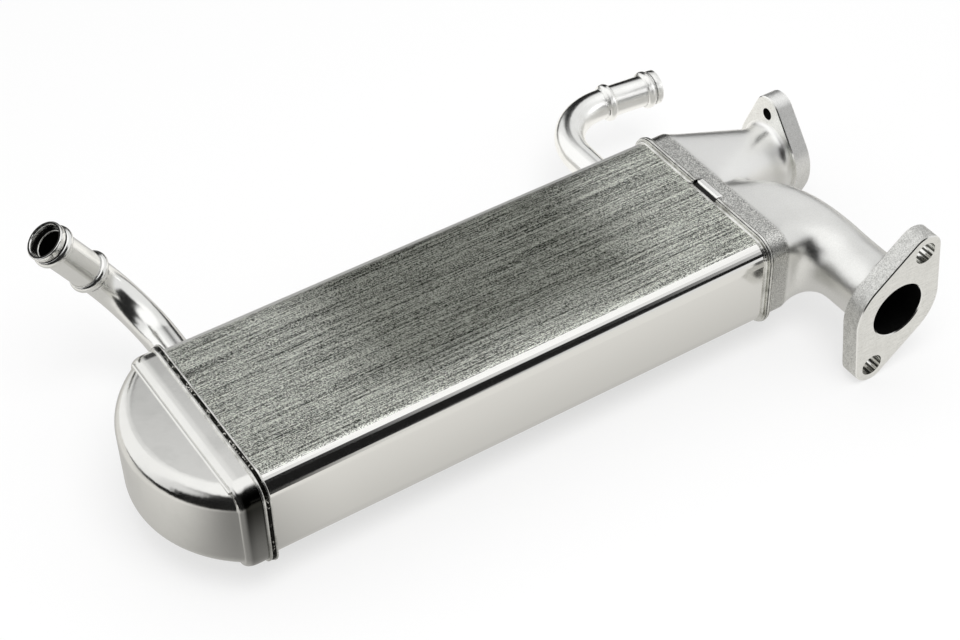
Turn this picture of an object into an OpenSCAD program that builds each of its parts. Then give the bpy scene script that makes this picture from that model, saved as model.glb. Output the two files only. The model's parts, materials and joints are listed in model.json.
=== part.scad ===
// Exhaust gas recirculation cooler with a U-shaped gas path, all stainless steel.
// Gas enters one flange of the cast header, runs through one bank of flat tubes to the
// return cap, and comes back through the other bank to the second flange. Coolant fills
// the shell round the tubes and passes through the two bent pipes on the rear wall.
// Origin: centre of the front gas flange's face. +X runs from the return cap to the header,
// +Y from the front flange to the coolant pipes, +Z up.

/* [Tube bundle] */
// Flat gas tubes in each of the two banks
tubes_per_bank = 5; // [3:1:6]
// Width of one flat tube
tube_width = 35.5; // [30:0.5:42]
// Height of one flat tube
tube_height = 5.2; // [4:0.1:6.5]
// Sheet thickness of the tubes
tube_wall = 0.5; // [0.3:0.05:0.8]
// Coolant gap between stacked tubes
coolant_gap = 1.7; // [1.2:0.1:3]
// Coolant gap between the two banks
bank_gap = 4; // [3:0.25:8]
// How far each tube stands out of its tube sheets
tube_stub = 1; // [0.5:0.1:2]
// Length of one full wave of the fins
fin_wave = 6; // [4:0.25:10]
// Sheet thickness of the fins
fin_sheet = 0.25; // [0.15:0.05:0.4]

/* [Shell] */
// Distance between the middle planes of the two tube sheets
core_length = 212; // [160:1:280]
// Sheet thickness of the shell
shell_wall = 1.5; // [1:0.1:2]
// Outer corner radius of the shell
shell_corner = 7.5; // [5:0.25:9]
// Coolant gap between the bundle and the shell's side walls
side_gap = 2; // [1.5:0.1:4]
// Coolant gap between the bundle and the shell's top and bottom
top_gap = 1.1; // [0.8:0.1:3]

/* [Tube sheets and baffles] */
// Thickness of both tube sheets
sheet_thickness = 2; // [1.5:0.1:3]
// How far the sheets' rims stand proud of the shell
sheet_rim = 1.6; // [1:0.1:2.5]
// Width of the locating notch in the port-end rim
notch_width = 14; // [8:0.5:18]
// Place of the notch across the core, from its middle
notch_y = -2; // [-20:0.5:20]
// Coolant baffles along the bundle
baffle_count = 3; // [1:1:5]
// Thickness of a baffle
baffle_thickness = 1.5; // [1:0.1:2.5]
// Open width that a baffle leaves at one side of the shell
baffle_window = 14; // [8:0.5:24]

/* [Return cap] */
// Sheet thickness of the cap
cap_wall = 1.5; // [1:0.1:2]
// Length of the skirt that meets the tube sheet
skirt_length = 9; // [6:0.25:14]
// How far the skirt stands proud of the shell
skirt_proud = 1.2; // [0.6:0.1:1.5]
// Rounding of the skirt's shoulder, across the skirt
skirt_round = 2; // [1.6:0.1:2.5]
// Length of the skirt's rounded shoulder
shoulder_length = 4.5; // [2.5:0.1:5.5]
// Step from the skirt in to the chamber
cap_step = 2.2; // [1.6:0.1:4]
// Depth of the D-shaped chamber beyond the skirt
cap_depth = 20.7; // [14:0.1:30]
// Rounding along the chamber's upper and lower edges
cap_fillet = 7; // [4:0.25:9]

/* [Gas header] */
// Length of the straight collar that meets the tube sheet
collar_length = 8.5; // [6:0.25:14]
// Wall of the casting
header_wall = 2; // [1.6:0.1:2.2]
// How far each duct's lobe reaches past the core's middle
lobe_overlap = 3; // [2:0.25:5]
// Step from the collar down to the lobes
lobe_step = 0.3; // [0.2:0.05:0.5]
// Radial relief behind each machined gas bore
port_relief = 0.3; // [0.2:0.05:0.6]
// Depth of the machined bore beyond the flange
port_land = 2; // [1:0.25:4]
// Radius of the fillet between duct and flange
neck_fillet = 2; // [1:0.25:3]

/* [Front gas flange] */
// Distance of the port's axis from the port-end tube sheet
front_port_x = 32; // [28:0.5:44]
// Distance of the flange's face from the shell's front wall
front_reach = 36.8; // [30:0.2:60]
// Thickness of the flange
front_thickness = 8; // [6:0.25:10]
// Bore diameter of the port
front_bore = 23; // [18:0.5:26]
// Radius of the flange round the port
front_hub = 19.3; // [18:0.1:22]
// Radius of the bolt ears
front_ear = 7.4; // [6.5:0.1:9]
// Distance between the bolt holes
front_pitch = 50; // [46:0.5:60]
// Diameter of the bolt holes
front_hole = 9; // [6.6:0.1:9.5]
// Lean of the bolt line from upright, towards +X
front_lean = 22.4; // [-40:0.1:40]

/* [Rear gas flange] */
// Distance of the flange's face from the port-end tube sheet
rear_reach = 56.7; // [46:0.1:80]
// Thickness of the flange
rear_thickness = 7.4; // [6:0.2:10]
// Bore diameter of the port
rear_bore = 22; // [18:0.5:24]
// Radius of the flange round the port
rear_hub = 17.5; // [16:0.1:20]
// Radius of the bolt ears
rear_ear = 7.4; // [6:0.1:8]
// Distance between the threaded holes
rear_pitch = 39; // [36:0.5:48]
// Core diameter of the threaded holes
rear_hole = 5; // [4:0.1:5.4]
// Lean of the bolt line from upright, towards +Y
rear_lean = 7.7; // [-40:0.1:40]

/* [Coolant pipes] */
// Wall of both pipes
pipe_wall = 1; // [0.8:0.1:1.2]
// Distance of the inlet pipe from the return-end tube sheet
inlet_x = 10.7; // [10:0.1:30]
// Outer diameter of the inlet pipe
inlet_od = 13.6; // [10:0.2:16]
// Straight length of the inlet pipe at the shell
inlet_straight = 18.3; // [10:0.1:40]
// Bend angle of the inlet pipe, upwards
inlet_bend = 90; // [60:0.5:100]
// Lean of the inlet's bend from upright, towards -X
inlet_lean = 32.4; // [0:0.1:60]
// Length of the inlet's hose nipple
inlet_nipple = 28.7; // [24:0.1:45]
// Distance of the outlet pipe from the port-end tube sheet
outlet_x = 14; // [10:0.1:30]
// Outer diameter of the outlet pipe
outlet_od = 12.6; // [10:0.2:16]
// Straight length of the outlet pipe at the shell
outlet_straight = 20.1; // [10:0.1:40]
// Bend angle of the outlet pipe, towards +X
outlet_bend = 96; // [60:0.5:100]
// Length of the outlet's hose nipple
outlet_nipple = 26; // [24:0.1:45]
// Bend radius of both pipes
pipe_radius = 25; // [20:0.5:40]
// Rise of the hose nipples over their pipes, on the radius
nipple_rise = 0.2; // [0.1:0.05:1]
// Rise of the hose beads over the nipples, on the radius
bead_rise = 1.4; // [0.5:0.1:2]
// Length of one hose bead
bead_length = 3.8; // [3:0.1:6]
// Start of the first bead along the inlet's nipple
inlet_bead = 0.9; // [0.5:0.1:6]
// Start of the first bead along the outlet's nipple
outlet_bead = 0.5; // [0.5:0.1:6]
// Length of the rolled lip at the mouth
lip_length = 2.4; // [2:0.1:5]

/* [Fits] */
// Braze gap round the tubes in their slots
braze_gap = 0.08; // [0.04:0.01:0.15]
// Gap between a fin and the tube that holds it
fin_gap = 0.05; // [0.02:0.01:0.1]
// Gap round the baffles and the pipes in the shell
shell_gap = 0.1; // [0.05:0.01:0.2]
// Gap between the tubes' ends and the header's gas passages
tube_relief = 0.3; // [0.2:0.05:0.5]

/* [Hidden] */
BANKS = ["front", "rear"];
TUBE_NAMES = [for (b = BANKS, i = [1:tubes_per_bank]) str(b, "_tube_", i)];
FIN_NAMES = [for (b = BANKS, i = [1:tubes_per_bank]) str(b, "_fin_", i)];
BAFFLE_NAMES = [for (i = [1:baffle_count]) str("coolant_baffle_", i)];
$fn = 72;

cut = 1;               // how far a cutting shape runs past the surface it opens
arc_steps = 7;         // flats in each quarter of a lofted section
shoulder_steps = 10;   // flats across the skirt's shoulder
bend_steps = 9;        // stations along the front duct's bend
taper_steps = 5;       // stations along the rear duct's taper
bead_steps = 8;        // flats across a rolled hose bead
lip_taper = 0.4;       // chamfer at a pipe's mouth
lip_groove = 0.9;      // groove between the last bead and the lip
mouth_open = 0.55;     // share of the wall by which the bore opens at the mouth
nipple_lead = 0.4;     // straight end of a pipe before its nipple swells
nipple_start = 0.05;   // first swell of a nipple over its pipe, on the radius
fillet_steps = 3;      // stations through a duct's fillet at its flange
least_round = 0.2;     // smallest rounding inside a drawn corner
same_point = 0.001;    // points of a ring nearer than this are one
duct_seat = 0.05;      // straight length of a duct before its curve and inside its flange
side_sink = 0.002;     // how far a flange's straight sides lie inside the tangents of its rounds
key_foot = 2;          // length of the header's key on the collar
bend_share = 0.25;     // where the front bend ends, as a share of the way from shell to flange
lead_share = 0.65;     // pull of the front duct's walls along the core
inner_pull = 0.25;     // pull of the inner wall back from the bend's end
outer_pull = 0.33;     // pull of the outer wall back from the bend's end

tube_pitch = tube_height + coolant_gap;
bundle_height = tubes_per_bank * tube_pitch - coolant_gap;
bundle_width = 2 * tube_width + bank_gap;
shell_width = bundle_width + 2 * (side_gap + shell_wall);
shell_height = bundle_height + 2 * (top_gap + shell_wall);
bank_y = (tube_width + bank_gap) / 2;
sheet_near = sheet_thickness / 2;
return_face = -sheet_near;
port_face = core_length + sheet_near;
collar_end = port_face + collar_length;
duct_start = collar_end + duct_seat;
front_x = core_length + front_port_x;
front_y = -shell_width / 2 - front_reach;
front_throat = front_bore / 2 + port_relief;
front_neck = front_throat + header_wall;
rear_x = core_length + rear_reach;
rear_y = shell_width / 4;
rear_throat = rear_bore / 2 + port_relief;
rear_neck = rear_throat + header_wall;

// Tube steel, cast steel and sheet steel as they look
SHEET_STEEL = [0.66, 0.66, 0.63];
POLISHED_STEEL = [0.80, 0.80, 0.77];
CAST_STEEL = [0.76, 0.76, 0.74];
TUBE_STEEL = [0.72, 0.72, 0.72];
FIN_STEEL = [0.60, 0.60, 0.60];

// Core frame: x from the return sheet's middle plane, y and z from the core's middle.
module from_core() translate([-front_x, -front_y, 0]) children();

// Turns a shape drawn in XY and raised along Z so that XY becomes YZ and it runs along +X.
module along_x(x) translate([x, 0, 0]) rotate([90, 0, 90]) children();

module rounded_rect(w, h, r) {
    square([w - 2 * r, h], center = true);
    square([w, h - 2 * r], center = true);
    for (sx = [-1, 1], sy = [-1, 1])
        translate([sx * (w / 2 - r), sy * (h / 2 - r)]) circle(r);
}

// Outline of the shell's outside, grown by a margin all round (negative for inside)
module shell_outline(margin)
    rounded_rect(shell_width + 2 * margin, shell_height + 2 * margin, shell_corner + margin);

module flat_outline(w, h) {
    square([w - h, h], center = true);
    for (s = [-1, 1]) translate([s * (w - h) / 2, 0]) circle(h / 2);
}

// Puts children at the middle of one tube: bank 0 or 1, level counted from the bottom
module at_tube(bank, level)
    translate([(2 * bank - 1) * bank_y, (level - (tubes_per_bank - 1) / 2) * tube_pitch]) children();

// Every tube's outside in the cross-section, grown by a gap
module bundle_outline(gap)
    for (bank = [0, 1], level = [0:tubes_per_bank - 1])
        at_tube(bank, level) flat_outline(tube_width + 2 * gap, tube_height + 2 * gap);

// Gas tubes and their fins

module gas_tube(bank, level) color(TUBE_STEEL) from_core()
    along_x(return_face - tube_stub)
        linear_extrude(core_length + sheet_thickness + 2 * tube_stub) at_tube(bank, level) difference() {
            flat_outline(tube_width, tube_height);
            flat_outline(tube_width - 2 * tube_wall, tube_height - 2 * tube_wall);
        }

// Closed outline of a square-wave strip: out along its upper side and back along its lower side
function wave_outline(width, height, count, sheet) =
    let (half = width / count,
         rise = function(k) k % 2 == 0 ? 1 : -1,
         level = function(k, side) rise(k) * (height - sheet) / 2 + side * sheet / 2,
         start = function(k, side) k == 0 ? -width / 2 : -width / 2 + k * half - side * rise(k) * sheet / 2,
         stop = function(k, side) k == count - 1 ? width / 2
             : -width / 2 + (k + 1) * half + side * rise(k) * sheet / 2)
    concat(
        [for (k = [0:count - 1]) each [[start(k, 1), level(k, 1)], [stop(k, 1), level(k, 1)]]],
        [for (k = [count - 1:-1:0]) each [[stop(k, -1), level(k, -1)], [start(k, -1), level(k, -1)]]]);

module gas_fin(bank, level) {
    width = tube_width - tube_height;
    height = tube_height - 2 * (tube_wall + fin_gap);
    color(FIN_STEEL) from_core() along_x(return_face)
        linear_extrude(core_length + sheet_thickness) at_tube(bank, level)
            polygon(wave_outline(width, height, 2 * round(width / fin_wave), fin_sheet));
}

// Sheets, baffles and shell

module return_tube_sheet() color(POLISHED_STEEL) from_core() along_x(return_face)
    linear_extrude(sheet_thickness) difference() {
        shell_outline(sheet_rim);
        bundle_outline(braze_gap);
    }

module port_tube_sheet() color(POLISHED_STEEL) from_core() along_x(port_face - sheet_thickness)
    linear_extrude(sheet_thickness) difference() {
        shell_outline(sheet_rim);
        bundle_outline(braze_gap);
        translate([notch_y - notch_width / 2, shell_height / 2]) square([notch_width, sheet_rim + cut]);
    }

// Comb plate that leaves a window open at the front or at the rear, in turn
module coolant_baffle(index) {
    side = index % 2 == 0 ? 1 : -1;
    spacing = core_length / (baffle_count + 1);
    color(TUBE_STEEL) from_core() along_x((index + 1) * spacing - baffle_thickness / 2)
        linear_extrude(baffle_thickness) difference() {
            shell_outline(-shell_wall - shell_gap);
            bundle_outline(braze_gap);
            translate([side * (shell_width - baffle_window) / 2, 0])
                square([baffle_window, shell_height], center = true);
        }
}

module shell() color(SHEET_STEEL) from_core() difference() {
    along_x(sheet_near) linear_extrude(core_length - sheet_thickness) difference() {
        shell_outline(0);
        shell_outline(-shell_wall);
    }
    at_rear_wall(inlet_x) pipe_hole(inlet_od);
    at_rear_wall(core_length - outlet_x) pipe_hole(outlet_od);
}

// Inner face of the shell's rear wall at one place along it, z out through the wall
module at_rear_wall(x) translate([x, shell_width / 2 - shell_wall, 0]) rotate([-90, 0, 0]) children();

module pipe_hole(od) translate([0, 0, -cut]) cylinder(d = od + 2 * shell_gap, h = shell_wall + 2 * cut);

// Return cap: a drawn skirt that steps in to a D-shaped turning chamber

// Section of a block's rim from its corner axis out, with the upper edge rounded
function rim_profile(reach, height, rounding, shoulder) = concat(
    [[0, 0], [reach, 0]],
    [for (i = [0:shoulder_steps])
        let (t = 90 * i / shoulder_steps)
        [reach - rounding + rounding * cos(t), height - shoulder + shoulder * sin(t)]],
    [[0, height]]);

// Rounded rectangular block whose upper edge is rounded all the way round
module soft_block(w, h, height, corner, rounding, shoulder) {
    profile = rim_profile(corner, height, rounding, shoulder);
    span = [w - 2 * corner, h - 2 * corner];
    translate([-span[0] / 2, -span[1] / 2, 0]) cube([span[0], span[1], height]);
    for (q = [0:3]) {
        sx = q == 0 || q == 3 ? 1 : -1;
        sy = q < 2 ? 1 : -1;
        translate([sx * span[0] / 2, sy * span[1] / 2, 0])
            rotate([0, 0, 90 * q]) rotate_extrude(angle = 90) polygon(profile);
        rotate([0, 0, 90 * q]) translate([span[q % 2] / 2, 0, 0])
            rotate([90, 0, 0]) linear_extrude(span[(q + 1) % 2], center = true) polygon(profile);
    }
}

module skirt_block(inset, length)
    along_x(return_face) mirror([0, 0, 1]) soft_block(
        shell_width + 2 * (skirt_proud - inset), shell_height + 2 * (skirt_proud - inset),
        length, shell_corner + skirt_proud - inset,
        max(skirt_round - inset, least_round), max(shoulder_length - inset, least_round));

// Part of a drum with rounded edges that lies beyond the skirt's end
module cap_chamber(inset, overlap) {
    half_chord = shell_width / 2 + skirt_proud - cap_step;
    radius = (half_chord * half_chord + cap_depth * cap_depth) / (2 * cap_depth);
    half_height = shell_height / 2 + skirt_proud - cap_step;
    r = radius - inset;
    h = half_height - inset;
    f = cap_fillet - inset;
    skirt_end = return_face - skirt_length;
    intersection() {
        translate([skirt_end - cap_depth + radius, 0, 0]) rotate_extrude() {
            translate([0, -h]) square([r - f, 2 * h]);
            translate([0, f - h]) square([r, 2 * (h - f)]);
            for (s = [-1, 1]) translate([r - f, s * (h - f)]) circle(f);
        }
        translate([skirt_end + overlap - 2 * radius, -radius, -half_height])
            cube([2 * radius, 2 * radius, 2 * half_height]);
    }
}

module return_cap() color(POLISHED_STEEL) from_core() difference() {
    union() {
        skirt_block(0, skirt_length);
        cap_chamber(0, cap_wall / 2);
    }
    translate([cut, 0, 0])
        skirt_block(cap_wall, skirt_length - cap_wall + cut);
    cap_chamber(cap_wall, cap_wall + cut);
}

// Gas header: two lofted ducts that leave one collar, each with a two-bolt flange

function mix(a, b, t) = a + (b - a) * t;

function bezier(p, t) =
    pow(1 - t, 3) * p[0] + 3 * t * pow(1 - t, 2) * p[1] + 3 * t * t * (1 - t) * p[2] + pow(t, 3) * p[3];

// A station is [x, y, heading, half width, half height, corner radius]; this is its ring of points
function station_ring(s) =
    [for (q = [0:3], i = [0:arc_steps])
        let (t = 90 * (q + i / arc_steps),
             side = q == 0 || q == 3 ? 1 : -1,
             up = q < 2 ? 1 : -1,
             across = side * (s[3] - s[5]) + s[5] * cos(t),
             height = up * (s[4] - s[5]) + s[5] * sin(t))
        [s[0] - across * sin(s[2]), s[1] + across * cos(s[2]), height]];

// True where the quarters of a station's ring meet with no straight between them
function is_round(s) = abs(s[3] - s[5]) < same_point && abs(s[4] - s[5]) < same_point;

// Closed skin through the rings of a row of stations; a round ring's doubled points count once
module loft(stations) {
    quarter = arc_steps + 1;
    count = 4 * quarter;
    last = len(stations) - 1;
    index = function(k, i) k * count
        + (is_round(stations[k]) && i % quarter == 0 ? (i + count - 1) % count : i % count);
    rim = function(k) [for (i = [0:count - 1]) if (index(k, i) == k * count + i) k * count + i];
    last_rim = rim(last);
    polyhedron(
        points = [for (s = stations) each station_ring(s)],
        faces = concat(
            [rim(0)],
            [for (k = [0:last - 1], i = [0:count - 1])
                let (a = index(k, i), b = index(k, i + 1), c = index(k + 1, i + 1), d = index(k + 1, i))
                each concat(c == d ? [] : [[a, d, c]], a == b ? [] : [[a, c, b]])],
            [[for (i = [len(last_rim) - 1:-1:0]) last_rim[i]]]));
}

// A section at the collar is [y, half width, half height, corner radius]; side is -1 front, 1 rear
function lobe_section(side) =
    let (outer = shell_width / 2 - lobe_step, half = (outer + lobe_overlap) / 2)
    [side * (outer - half), half, shell_height / 2 - lobe_step, shell_corner - lobe_step];

function passage_section(side) =
    [side * bank_y, tube_width / 2 + tube_relief, bundle_height / 2 + tube_relief,
     tube_height / 2 + tube_relief];

// Straight start of a duct or passage inside the collar
function collar_station(x, section) = [x, section[0], 0, section[1], section[2], section[3]];

// Round end of a duct or passage
function round_station(x, y, heading, r) = [x, y, heading, r, r, r];

// Front duct: its inner and outer walls in plan turn from +X to -Y
front_back = front_y + front_thickness;
bend_end = mix(-shell_width / 2, front_back, bend_share);

function bend_wall(y, x, pull) =
    [[duct_start, y], [mix(duct_start, x, lead_share), y], [x, mix(y, bend_end, pull)], [x, bend_end]];

function front_bend(section, r) =
    let (inner = bend_wall(section[0] - section[1], front_x - r, inner_pull),
         outer = bend_wall(section[0] + section[1], front_x + r, outer_pull))
    [for (k = [0:bend_steps])
        let (t = k / bend_steps, a = bezier(inner, t), b = bezier(outer, t), middle = (a + b) / 2)
        [middle[0], middle[1], atan2(b[1] - a[1], b[0] - a[0]) - 90, norm(b - a) / 2,
         mix(section[2], r, t), mix(section[3], r, t)]];

// Growth of a duct's fillet at a share of the way to its flange
function fillet_growth(share) = neck_fillet * (1 - sqrt(1 - share * share));

front_fillet = [for (k = [0:fillet_steps])
    let (share = k / fillet_steps)
    round_station(front_x, front_back - duct_seat + neck_fillet * (1 - share), -90,
        front_neck + fillet_growth(share))];

// Rear duct: a straight taper from the collar to the round neck
rear_back = rear_x - rear_thickness;
taper_end = rear_back - 2 * neck_fillet;

function rear_taper(section, r) =
    [for (k = [0:taper_steps])
        let (t = k / taper_steps)
        [mix(duct_start, taper_end, t), mix(section[0], rear_y, t), 0,
         mix(section[1], r, t), mix(section[2], r, t), mix(section[3], r, t)]];

rear_fillet = [for (k = [0:fillet_steps])
    let (share = k / fillet_steps)
    round_station(rear_back + duct_seat - neck_fillet * (1 - share), rear_y, 0,
        rear_neck + fillet_growth(share))];

module front_duct() loft(concat(
    [collar_station(collar_end - cut, lobe_section(-1))],
    front_bend(lobe_section(-1), front_neck), front_fillet,
    [round_station(front_x, front_back - cut, -90, front_neck + neck_fillet)]));

module front_passage() loft(concat(
    [collar_station(port_face - cut, passage_section(-1))],
    front_bend(passage_section(-1), front_throat),
    [round_station(front_x, front_back + port_land, -90, front_throat)]));

module rear_duct() loft(concat(
    [collar_station(collar_end - cut, lobe_section(1))],
    rear_taper(lobe_section(1), rear_neck), rear_fillet,
    [round_station(rear_back + cut, rear_y, 0, rear_neck + neck_fillet)]));

module rear_passage() loft(concat(
    [collar_station(port_face - cut, passage_section(1))],
    rear_taper(passage_section(1), rear_throat),
    [round_station(rear_back - port_land, rear_y, 0, rear_throat)]));

// Two-bolt outline: hub and ears joined by their common tangents
module flange_outline(hub, ear, pitch) {
    rise = asin((hub - ear) / (pitch / 2));
    on_hub = (hub - side_sink) * [cos(rise), sin(rise)];
    on_ear = [0, pitch / 2] + (ear - side_sink) * [cos(rise), sin(rise)];
    circle(hub);
    for (s = [-1, 1]) translate([0, s * pitch / 2]) circle(ear);
    polygon([
        on_hub, on_ear, [-on_ear[0], on_ear[1]], [-on_hub[0], on_hub[1]],
        -on_hub, -on_ear, [on_ear[0], -on_ear[1]], [on_hub[0], -on_hub[1]]]);
}

// Faces of the two flanges, z out of the face, y along the bolt line
module at_front_face() translate([front_x, front_y, 0]) rotate([90, front_lean, 0]) children();
module at_rear_face()
    translate([rear_x, rear_y, 0]) rotate([90, 0, 90]) rotate([0, 0, -rear_lean]) children();

module flange(thickness, hub, ear, pitch)
    translate([0, 0, -thickness]) linear_extrude(thickness) flange_outline(hub, ear, pitch);

module flange_holes(thickness, bore, pitch, hole) {
    depth = thickness + port_land;
    translate([0, 0, -depth - cut]) cylinder(d = bore, h = depth + 2 * cut);
    for (s = [-1, 1]) translate([0, s * pitch / 2, -thickness - cut])
        cylinder(d = hole, h = thickness + 2 * cut);
}

// Key on the collar's top edge that reaches half way over the tube sheet's notch
module header_key()
    translate([port_face, notch_y, shell_height / 2])
        rotate([90, 0, 0]) linear_extrude(notch_width - 2 * shell_gap, center = true) polygon([
            [-sheet_near, shell_gap], [0, shell_gap], [0, -header_wall / 2],
            [key_foot, -header_wall / 2], [key_foot, sheet_rim], [-sheet_near, sheet_rim]]);

module gas_header() color(CAST_STEEL) from_core() difference() {
    union() {
        along_x(port_face) linear_extrude(collar_length) shell_outline(0);
        header_key();
        front_duct();
        rear_duct();
        at_front_face() flange(front_thickness, front_hub, front_ear, front_pitch);
        at_rear_face() flange(rear_thickness, rear_hub, rear_ear, rear_pitch);
    }
    front_passage();
    rear_passage();
    at_front_face() flange_holes(front_thickness, front_bore, front_pitch, front_hole);
    at_rear_face() flange_holes(rear_thickness, rear_bore, rear_pitch, rear_hole);
}

// Coolant pipes: straight out of the shell, one bend, then a beaded hose nipple

// Half wave of a rolled bead, as [radius, length] points
function bead(start, radius) =
    [for (i = [0:bead_steps])
        let (t = 180 * i / bead_steps)
        [radius + bead_rise * sin(t), start + bead_length * (1 - cos(t)) / 2]];

// Wall section of a nipple that swells from its pipe: a bead near the bend, one near the mouth, then a lip
function nipple_section(od, length, first_bead) =
    let (r = od / 2 + nipple_start, grown = od / 2 + nipple_rise, lip = grown + bead_rise / 2,
         mouth = grown - pipe_wall * (1 - mouth_open),
         last_bead = length - lip_length - lip_groove - bead_length)
    concat(
        [[r, 0], [r, nipple_lead]],
        bead(first_bead, grown),
        bead(last_bead, grown),
        [[grown, length - lip_length - lip_taper], [lip, length - lip_length],
         [lip, length - lip_taper], [lip - lip_taper, length], [mouth, length],
         [grown - pipe_wall, length - lip_length], [grown - pipe_wall, nipple_lead + bead_length],
         [r - pipe_wall, nipple_lead], [r - pipe_wall, 0]]);

module pipe_ring(od) difference() {
    circle(d = od);
    circle(d = od - 2 * pipe_wall);
}

// One pipe from the shell's inner face, z along it; the bend turns towards local +X
module coolant_pipe(od, straight, bend, nipple, first_bead) {
    run = straight + shell_wall;
    linear_extrude(run) pipe_ring(od);
    translate([pipe_radius, 0, run]) rotate([90, 0, 180]) rotate_extrude(angle = bend)
        translate([pipe_radius, 0]) pipe_ring(od);
    translate([pipe_radius, 0, run]) rotate([0, bend, 0]) translate([-pipe_radius, 0, 0])
        rotate_extrude() polygon(nipple_section(od, nipple, first_bead));
}

module coolant_inlet_pipe() color(POLISHED_STEEL) from_core()
    at_rear_wall(inlet_x) rotate([0, 0, -90 - inlet_lean])
        coolant_pipe(inlet_od, inlet_straight, inlet_bend, inlet_nipple, inlet_bead);

module coolant_outlet_pipe() color(POLISHED_STEEL) from_core()
    at_rear_wall(core_length - outlet_x)
        coolant_pipe(outlet_od, outlet_straight, outlet_bend, outlet_nipple, outlet_bead);

shell();
return_cap();
return_tube_sheet();
port_tube_sheet();
gas_header();
coolant_inlet_pipe();
coolant_outlet_pipe();
for (bank = [0, 1], level = [0:tubes_per_bank - 1]) {
    index = bank * tubes_per_bank + level;
    gas_tube(bank, level);
    gas_fin(bank, level);
}
for (index = [0:baffle_count - 1])
    coolant_baffle(index);
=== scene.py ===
"""Looks of the exhaust gas cooler: sheet, casting, pipes, welds, studio and camera."""
import json
import math
from contextlib import contextmanager

import bpy
from mathutils import Matrix, Vector


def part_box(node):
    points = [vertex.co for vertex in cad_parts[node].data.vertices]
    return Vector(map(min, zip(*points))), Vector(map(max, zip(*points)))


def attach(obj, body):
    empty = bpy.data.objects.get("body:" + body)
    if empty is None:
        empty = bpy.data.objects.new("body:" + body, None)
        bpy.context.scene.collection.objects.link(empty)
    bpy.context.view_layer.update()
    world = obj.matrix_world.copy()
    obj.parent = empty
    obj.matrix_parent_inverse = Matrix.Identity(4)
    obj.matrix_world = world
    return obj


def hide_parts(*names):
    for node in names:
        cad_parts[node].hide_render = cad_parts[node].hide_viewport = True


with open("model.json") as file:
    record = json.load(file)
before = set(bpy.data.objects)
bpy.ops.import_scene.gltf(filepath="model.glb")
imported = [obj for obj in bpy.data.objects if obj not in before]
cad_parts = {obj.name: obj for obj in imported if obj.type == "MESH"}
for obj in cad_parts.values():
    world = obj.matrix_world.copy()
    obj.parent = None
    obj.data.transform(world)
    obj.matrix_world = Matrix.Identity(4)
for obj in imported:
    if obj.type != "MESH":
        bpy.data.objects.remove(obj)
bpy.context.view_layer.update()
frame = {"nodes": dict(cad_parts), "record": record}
MM = 0.001
QUARTER_TURN = math.radians(90)

# Places on the part, in metres, read from the frame
SHELL_LOW, SHELL_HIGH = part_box("shell")
RETURN_LOW, RETURN_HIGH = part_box("return_tube_sheet")
PORT_LOW, PORT_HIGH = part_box("port_tube_sheet")
CAP_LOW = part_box("return_cap")[0]
HEADER_LOW, HEADER_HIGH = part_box("gas_header")
MOUNTS = {mount["name"]: mount for mount in frame["record"]["mounts"]}
SHELL_WIDTH = SHELL_HIGH.y - SHELL_LOW.y
SHELL_HEIGHT = SHELL_HIGH.z - SHELL_LOW.z
CORE_Y = (SHELL_HIGH.y + SHELL_LOW.y) / 2
RETURN_X = (RETURN_LOW.x + RETURN_HIGH.x) / 2
PORT_X = (PORT_LOW.x + PORT_HIGH.x) / 2
RIM_PROUD = PORT_HIGH.z - SHELL_HIGH.z
FLOOR_Z = HEADER_LOW.z

# Sizes of the solids that the frame does not list
SHELL_CORNER = 7.5 * MM
CREASE_X = RETURN_LOW.x - 9.3 * MM
DRUM_TOP = 18.0 * MM
COLLAR_END = PORT_HIGH.x + 8.5 * MM
NOTCH_LOW, NOTCH_HIGH = 68.8 * MM, 82.8 * MM
PIPE_ROOTS = {"coolant_inlet_pipe": (-233.3 * MM, 6.8 * MM),
              "coolant_outlet_pipe": (-46.0 * MM, 6.3 * MM)}

# Flange plates
FRONT_PLATE, REAR_PLATE = 8.0 * MM, 7.4 * MM
FRONT_HUB, REAR_HUB, EAR = 19.3 * MM, 17.5 * MM, 7.4 * MM
FRONT_LEAN, REAR_LEAN = math.radians(22.4), math.radians(7.7)
REAR_BACK = HEADER_HIGH.x - REAR_PLATE
PLATE_SKIN = 0.12 * MM
PLATE_CHAMFER = 0.4 * MM
PLATE_PLACE = {
    "front_bolts": Matrix.Rotation(FRONT_LEAN, 4, "Y") @ Matrix.Rotation(QUARTER_TURN, 4, "X"),
    "rear_bolts": (Matrix.Translation(MOUNTS["rear_gas_port"]["pos_m"])
                   @ Matrix.Rotation(QUARTER_TURN, 4, "Z") @ Matrix.Rotation(QUARTER_TURN, 4, "X")
                   @ Matrix.Rotation(-REAR_LEAN, 4, "Z"))}

# Cast rounds of the header
CAST_VOXEL = 0.7 * MM
EDGE_PASSES, DUCT_PASSES = 6, 140
DUCT_FADE = 5.0 * MM
HOLE_CLEARANCE = 0.5 * MM

# Middle of the shell's patch of painted shade (a darker copy of the grain on the top), and limits of the
# modelling helpers
SHADE_PATCH_X = -0.13
SHARP_EDGE = math.radians(50)
MERGE_DISTANCE = 1e-6


# ---- modelling helpers

def deselect():
    """Leaves edit mode and clears the selection."""
    if bpy.context.object and bpy.context.object.mode != "OBJECT":
        bpy.ops.object.mode_set(mode="OBJECT")
    bpy.ops.object.select_all(action="DESELECT")


def pick(obj):
    """Makes obj the only selected and the active object."""
    deselect()
    obj.select_set(True)
    bpy.context.view_layer.objects.active = obj
    return obj


@contextmanager
def editing(obj):
    """Edit mode on one object, with all of its mesh selected."""
    pick(obj)
    bpy.ops.object.mode_set(mode="EDIT")
    bpy.ops.mesh.select_all(action="SELECT")
    yield
    bpy.ops.object.mode_set(mode="OBJECT")


def named(name):
    """Names the object that was just added."""
    obj = bpy.context.object
    obj.name = name
    obj.data.name = name
    return obj


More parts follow.
